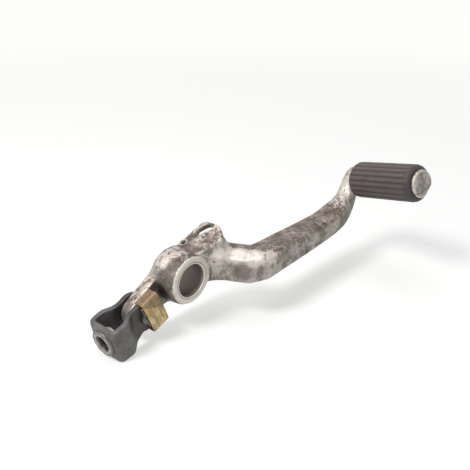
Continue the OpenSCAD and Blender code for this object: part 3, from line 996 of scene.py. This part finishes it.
def rubber_sleeve():
    outline = np.array(rubber_outline())
    sides = GROOVES * STEPS_PER_RIB
    turn = np.arange(sides) * 2 * math.pi / sides
    along = np.repeat(outline[:, :1], sides, axis=1)
    radius = np.repeat(outline[:, 1:], sides, axis=1)
    rib_angle = 2 * math.pi / GROOVES
    off_groove = np.abs((turn / rib_angle) % 1 - 0.5) * rib_angle * RUBBER_RADIUS
    half_width = GROOVE_WIDTH / 2
    in_groove = 1 - ease(half_width - 0.65 * MM, half_width + 0.75 * MM, off_groove)
    ends = ease(*NEAR_ENDS, along) * ease(*FAR_ENDS, along)
    depth = GROOVE_DEPTH * in_groove[None, :] * ends
    bottom = np.maximum(radius - depth, np.minimum(radius, RUBBER_RADIUS - GROOVE_DEPTH))
    outer = radius > RUBBER_BORE + 0.5 * MM
    radius = np.where(outer, bottom, radius)
    ring = np.stack([radius * np.cos(turn), radius * np.sin(turn), along], axis=-1)
    skin = ring.reshape(-1, 3)
    worn = noise_at(skin, WEAR_SIZE) + 0.5 * noise_at(skin, SCUFF_SIZE) - 0.9
    radius = np.where(outer, radius + RUBBER_WEAR * worn.reshape(radius.shape), radius)
    ring = np.stack([radius * np.cos(turn), radius * np.sin(turn), along], axis=-1)
    mesh = wrapped_grid("ribbed_rubber", ring @ peg_axes.T + PEG_ROOT)
    store(mesh, "groove", (in_groove[None, :] * ends).ravel())
    store(mesh, "along", (along / RUBBER_LENGTH).ravel())
    return new_piece("ribbed_rubber", mesh)


rubber = rubber_sleeve()
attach(rubber, "lever")
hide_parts("peg_rubber")
print("rubber faces:", len(rubber.data.polygons))

# %% [markdown]
# Old rubber is a brown black with pale dust on the crowns that a boot presses,
# and dirt down in the grooves. The grid stored where a groove is and how far
# along the sleeve each ring lies, so the finish can follow both.

# %% Dusty rubber
RUBBER_DARK = (0.046, 0.038, 0.037, 1)
RUBBER_BROWN = (0.118, 0.088, 0.080, 1)
RUBBER_DUST = (0.15, 0.132, 0.128, 1)
GROOVE_DIRT = (0.050, 0.041, 0.039, 1)
END_BLACK = (0.030, 0.027, 0.027, 1)


def dusty_rubber():
    material, tree, shader = new_material("dusty rubber")
    groove = stored(tree, "groove")
    blotchy = mottle(tree, 7, 6, 0.65, 0.5)
    colour = layered(tree, blotchy, RUBBER_DARK, RUBBER_BROWN)
    above = between(tree, upward(tree), 0.1, 0.95)
    crown = maths(tree, "SUBTRACT", above, groove, clamp=True)
    dusted = times(tree, crown, between(tree, mottle(tree, 2.5, 8, 0.75), 0.35, 0.75))
    colour = layered(tree, times(tree, dusted, 0.75), colour, RUBBER_DUST)
    colour = layered(tree, times(tree, groove, 0.8), colour, GROOVE_DIRT)
    last_end = between(tree, stored(tree, "along"), 0.90, 0.97)
    colour = layered(tree, times(tree, last_end, 0.7), colour, END_BLACK)
    tree.links.new(colour, shader.inputs["Base Color"])
    gloss = layered(tree, dusted, grey(0.52), grey(0.75))
    tree.links.new(gloss, shader.inputs["Roughness"])
    shader.inputs["Specular IOR Level"].default_value = 0.4
    relief(tree, shader, [(mottle(tree, 0.6, 5, 0.7), 0.05), (mottle(tree, 3, 3, 0.5), 0.10)])
    return material


rubber.data.materials.append(dusty_rubber())
print("rubber dressed")

# %% [markdown]
# ## The fork
#
# The fork was bent from thick strip and painted black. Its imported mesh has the
# right folds, so we only round its edges as bending and paint do, and then rub
# the paint off the high ones. Oil and grit keep the hollows dark.

# %% Fork
FORK_VOXEL = 0.32 * MM
FORK_PASSES = 20
EYE_KEPT = 4.8 * MM
PAINT_WAVE = 0.05 * MM
LUMP_SIZE, DRIP_SIZE = 3.5 * MM, 0.9 * MM
FORK_REACH, FORK_PROUD = 18, 0.30 * MM
OIL_AND_SHADE_REACH = (17 * MM, 9 * MM)
FORK_CREASE = math.radians(50)
fork = copy_of("clevis_fork", "folded_fork")
mesh = remesh(fork, FORK_VOXEL)
points = points_of(mesh)
fork_axis = np.array(pin_place)
from_pin = np.hypot(points[:, 0] - fork_axis[0], points[:, 2] - fork_axis[2])
points = relax(mesh, points, FORK_PASSES, np.where(from_pin < EYE_KEPT, 0, 0.5))
lumps = noise_at(points, LUMP_SIZE) + 0.4 * noise_at(points, DRIP_SIZE) - 0.6
place_points(mesh, points)
points = points + normals_of(mesh) * (PAINT_WAVE * lumps)[:, None]
place_points(mesh, points)
store_wear(mesh, FORK_REACH, FORK_PROUD)
# Round the pin the stored share darkens the paint: oil, and painted shade from the clip.
store(mesh, "oily", ease(*OIL_AND_SHADE_REACH, from_pin))
mesh.shade_smooth()
mesh.set_sharp_from_angle(angle=FORK_CREASE)
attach(fork, "clevis")
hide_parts("clevis_fork")
print("fork faces:", len(mesh.polygons))

# %% [markdown]
# Black paint goes grey where it weathers and comes off at the edges, and oil
# from the pin darkens it, together with painted shade from the clip round the
# eye. The bare edges could be painted by hand, but the measured edges already
# say where a rag or a boot would reach.

# %% Rubbed black paint
PAINT = (0.066, 0.062, 0.060, 1)
PAINT_GREY = (0.118, 0.112, 0.108, 1)
BARE_STEEL = (0.30, 0.27, 0.25, 1)
# Near black for old oil, and for painted shade round the fork's eye.
OLD_OIL_AND_SHADE = (0.016, 0.012, 0.011, 1)


def rubbed_paint():
    material, tree, shader = new_material("rubbed black paint")
    cloudy = mottle(tree, 6, 6, 0.65, 0.4)
    grainy = mottle(tree, 1.1, 7, 0.7)
    colour = layered(tree, between(tree, cloudy, 0.35, 0.65), PAINT, PAINT_GREY)
    # Hollows and oil darken the paint, and round the pin painted shade as well.
    oily = plus(tree, stored(tree, "hollow"), stored(tree, "oily"))
    oily = plus(tree, oily, times(tree, grainy, 0.6))
    oily = between(tree, oily, 0.45, 1.05)
    colour = layered(tree, times(tree, oily, 0.72), colour, OLD_OIL_AND_SHADE)
    ragged = times(tree, grainy, 0.9)
    bare = between(tree, plus(tree, stored(tree, "edge"), ragged), 0.92, 1.25)
    colour = layered(tree, times(tree, bare, 0.7), colour, BARE_STEEL)
    tree.links.new(colour, shader.inputs["Base Color"])
    tree.links.new(times(tree, bare, 0.6), shader.inputs["Metallic"])
    gloss = layered(tree, cloudy, grey(0.36), grey(0.55))
    tree.links.new(layered(tree, oily, gloss, grey(0.42)), shader.inputs["Roughness"])
    relief(tree, shader, [(grainy, 0.06), (mottle(tree, 2.4, 4, 0.5), 0.10)])
    return material


fork.data.materials.append(rubbed_paint())
print("fork dressed")

# %% [markdown]
# ## The threaded nut
#
# A real thread is a helix. Here the nut is a grid of rings once more, and each
# ring's inner radius moves with the angle and the height by one pitch per turn.
# Half a turn further the groove is half a pitch higher, which is all that a
# screw thread is.

# %% Nut
# The wall's points are millimetres: depth behind the base's outer face, radius
NUT_SIDES = 128
NUT_CORE = 4.4 * MM
NUT_PITCH = 1.25 * MM
THREAD_DEPTH = 0.6 * MM
NUT_WALL = [(-0.3, 4.4 + 0.9), (-1.2, 4.4 + 0.95), (-1.2, 5.4), (-1.2, 7.6), (-1.17, 7.85), (-1.08, 8.05),
            (-0.9, 8.2), (-0.75, 8.25), (-0.05, 8.25), (0, 8.2), (0, 6.4), (0.05, 6.3), (1, 6.3), (3.2, 6.3),
            (6.45, 6.3), (6.6, 6.2), (6.95, 5.9), (7.0, 5.8), (7.0, 5.1), (6.95, 4.95)]
FORK_BASE = np.array((25.6, 0, 3.9)) * MM
FORK_SLOPE = math.radians(11)
THREAD_ROWS = 84
THREAD_SPAN = (6.5 * MM, -0.3 * MM)
THREAD_SLOPE, ROOT_WIDTH = 2.6, 0.35
NUT_CREASE = math.radians(38)
THREAD_INSIDE = (5.35 * MM, 5.1 * MM)
BRIM_FROM = (6.7 * MM, 7.7 * MM)


def threaded_nut():
    turn = np.arange(NUT_SIDES) * 2 * math.pi / NUT_SIDES
    wall = np.array(NUT_WALL) * MM
    heights = np.linspace(*THREAD_SPAN, THREAD_ROWS)
    along = np.concatenate([wall[:, 0], heights])[:, None] + np.zeros(NUT_SIDES)
    phase = (heights[:, None] / NUT_PITCH - turn[None, :] / (2 * math.pi)) % 1
    flank = np.clip((0.5 - np.abs(phase - 0.5)) * THREAD_SLOPE - ROOT_WIDTH, 0, 1)
    open_end = ease(THREAD_SPAN[1], THREAD_SPAN[1] + 0.6 * MM, heights)[:, None]
    thread = NUT_CORE + THREAD_DEPTH * np.maximum(flank, 1 - open_end)
    radius = np.concatenate([wall[:, 1:] + np.zeros(NUT_SIDES), thread])
    rings = np.stack([along, radius * np.cos(turn), radius * np.sin(turn)], axis=-1)
    rings -= FORK_BASE
    turn_down = np.array(Matrix.Rotation(-FORK_SLOPE, 3, "Y"))
    mesh = wrapped_grid("threaded_nut", rings @ turn_down.T + np.array(pin_place))
    mesh.set_sharp_from_angle(angle=NUT_CREASE)
    store(mesh, "thread", ease(*THREAD_INSIDE, radius).ravel())
    store(mesh, "brim", ease(*BRIM_FROM, radius).ravel())
    return new_piece("threaded_nut", mesh)


nut = threaded_nut()
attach(nut, "clevis")
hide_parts("clevis_nut")
print("nut faces:", len(nut.data.polygons))

# %% [markdown]
# The nut's plating has gone dull, and brown at the rim of its flange. The pin
# is the same steel under a film of oil. One finish serves both, with lighter or
# darker colours, and the thread is darkened nearly to black.

# %% Dull plated steel
NUT_LIGHT, NUT_DARK = (0.56, 0.54, 0.50, 1), (0.20, 0.18, 0.16, 1)
PIN_LIGHT, PIN_DARK = (0.16, 0.15, 0.145, 1), (0.06, 0.055, 0.05, 1)
BRIM_BROWN = (0.115, 0.095, 0.085, 1)


def dull_steel(name, light, dark, gloss, film):
    """Plated steel with grime. The thread is darkened nearly to black, and the brim is brown."""
    material, tree, shader = new_material(name)
    cloudy = mottle(tree, 3.0, 6, 0.65, 0.3)
    colour = layered(tree, between(tree, cloudy, 0.35, 0.65), dark, light)
    grime = between(tree, mottle(tree, 1.2, 7, 0.7), 0.62 - film, 0.80 - film)
    colour = layered(tree, times(tree, grime, 0.75), colour, OLD_OIL_AND_SHADE)
    colour = layered(tree, times(tree, stored(tree, "thread"), 0.88), colour, OLD_OIL_AND_SHADE)
    rim = times(tree, stored(tree, "brim"), plus(tree, cloudy, 0.3), clamp=True)
    colour = layered(tree, rim, colour, BRIM_BROWN)
    tree.links.new(colour, shader.inputs["Base Color"])
    shader.inputs["Metallic"].default_value = 0.6
    rough = plus(tree, times(tree, cloudy, 0.25), gloss)
    tree.links.new(plus(tree, rough, times(tree, grime, 0.15)), shader.inputs["Roughness"])
    relief(tree, shader, [(mottle(tree, 0.6, 5, 0.6), 0.03)])
    return material


nut.data.materials.append(dull_steel("dull plated steel", NUT_LIGHT, NUT_DARK, gloss=0.32, film=0.10))
pin = dress("clevis_pin", dull_steel("oily pin steel", PIN_LIGHT, PIN_DARK, gloss=0.25, film=0.12))
print("steel on", nut.name, "and", pin.name)

# %% [markdown]
# ## The clip
#
# The clip is thin spring sheet with a yellow zinc finish. Zinc goes brown where
# it is handled and greasy, and flakes to grey at the folds. Its upper part is
# brown with stain and with painted shade from the tongue. Its imported mesh is
# rounded as the fork's was, on a finer grid, since the sheet is thin.

# %% Clip
CLIP_VOXEL = 0.21 * MM
CLIP_PASSES = 5
BEND_SIZE, BEND_DEPTH = 5.0 * MM, 0.05 * MM
CLIP_REACH, CLIP_PROUD = 12, 0.16 * MM
CLIP_CREASE = math.radians(55)
# The upper part of the clip is darkened: stain, and painted shade under the tongue.
STAIN_AND_SHADE_DEPTH, STAIN_AND_SHADE_SLOPE = 1.5, 0.35
STAIN_AND_SHADE_FROM = (-10 * MM, -2.5 * MM)
STREAK_WIDTH, STREAK_THROUGH, STREAK_LENGTH = 0.8 * MM, 4 * MM, 9 * MM
CLIP_TURN = math.radians(22)
CLIP_ACROSS = (math.cos(CLIP_TURN), 0, math.sin(CLIP_TURN))
CLIP_DOWN = (math.sin(CLIP_TURN), 0, -math.cos(CLIP_TURN))
clip = copy_of("pin_clip", "spring_clip")
mesh = remesh(clip, CLIP_VOXEL)
points = points_of(mesh)
points = relax(mesh, points, CLIP_PASSES, np.full(len(points), 0.5))
place_points(mesh, points)
bends = noise_at(points, BEND_SIZE) - 0.5
place_points(mesh, points + normals_of(mesh) * (BEND_DEPTH * bends)[:, None])
store_wear(mesh, CLIP_REACH, CLIP_PROUD)
points = points_of(mesh)
# A brown share that grows towards the clip's top: stain and painted shade.
stain_and_shade_height = points[:, 2] + STAIN_AND_SHADE_SLOPE * (points[:, 0] - fork_axis[0])
store(mesh, "stained_and_shaded", STAIN_AND_SHADE_DEPTH * ease(*STAIN_AND_SHADE_FROM, stain_and_shade_height))
across, down = points @ np.array(CLIP_ACROSS), points @ np.array(CLIP_DOWN)
stretched = np.stack([across / STREAK_WIDTH, points[:, 1] / STREAK_THROUGH, down / STREAK_LENGTH], axis=1)
store(mesh, "streak", noise_at(stretched, 1))
mesh.shade_smooth()
mesh.set_sharp_from_angle(angle=CLIP_CREASE)
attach(clip, "clevis")
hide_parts("pin_clip")
print("clip faces:", len(mesh.polygons))

# %% [markdown]
# The yellow of such plating is a thin film, and it streaks along the sheet
# where water and grease have run down. Noise that is short across the clip and
# long down its face gives those streaks, and was stored with the mesh above.

# %% Yellow zinc
ZINC = (0.38, 0.262, 0.110, 1)
ZINC_PALE = (0.56, 0.458, 0.263, 1)
ZINC_BROWN = (0.17, 0.115, 0.070, 1)
ZINC_RUBBED = (0.86, 0.78, 0.60, 1)


def yellow_zinc():
    material, tree, shader = new_material("yellow zinc")
    cloudy = mottle(tree, 4.5, 6, 0.6, 0.6)
    grainy = mottle(tree, 1.0, 6, 0.7)
    colour = layered(tree, between(tree, cloudy, 0.38, 0.66), ZINC, ZINC_PALE)
    # Brown for stain and for painted shade at the clip's top.
    stain_and_shade = plus(tree, stored(tree, "stained_and_shaded"), times(tree, grainy, 0.7))
    colour = layered(tree, times(tree, between(tree, stain_and_shade, 0.6, 1.3), 0.75), colour, ZINC_BROWN)
    streak = between(tree, plus(tree, stored(tree, "streak"), times(tree, grainy, 0.4)), 0.26, 0.50)
    colour = layered(tree, times(tree, streak, 0.7), colour, ZINC_BROWN)
    specks = between(tree, mottle(tree, 1.6, 4, 0.55), 0.62, 0.68)
    colour = layered(tree, times(tree, specks, 0.8), colour, OLD_OIL_AND_SHADE)
    worn = between(tree, plus(tree, stored(tree, "edge"), grainy), 1.0, 1.35)
    colour = layered(tree, times(tree, worn, 0.8), colour, ZINC_RUBBED)
    tree.links.new(colour, shader.inputs["Base Color"])
    shader.inputs["Metallic"].default_value = 0.7
    tree.links.new(layered(tree, cloudy, grey(0.30), grey(0.48)), shader.inputs["Roughness"])
    relief(tree, shader, [(grainy, 0.03), (mottle(tree, 3.5, 3, 0.5), 0.08)])
    return material


clip.data.materials.append(yellow_zinc())
print("clip dressed")
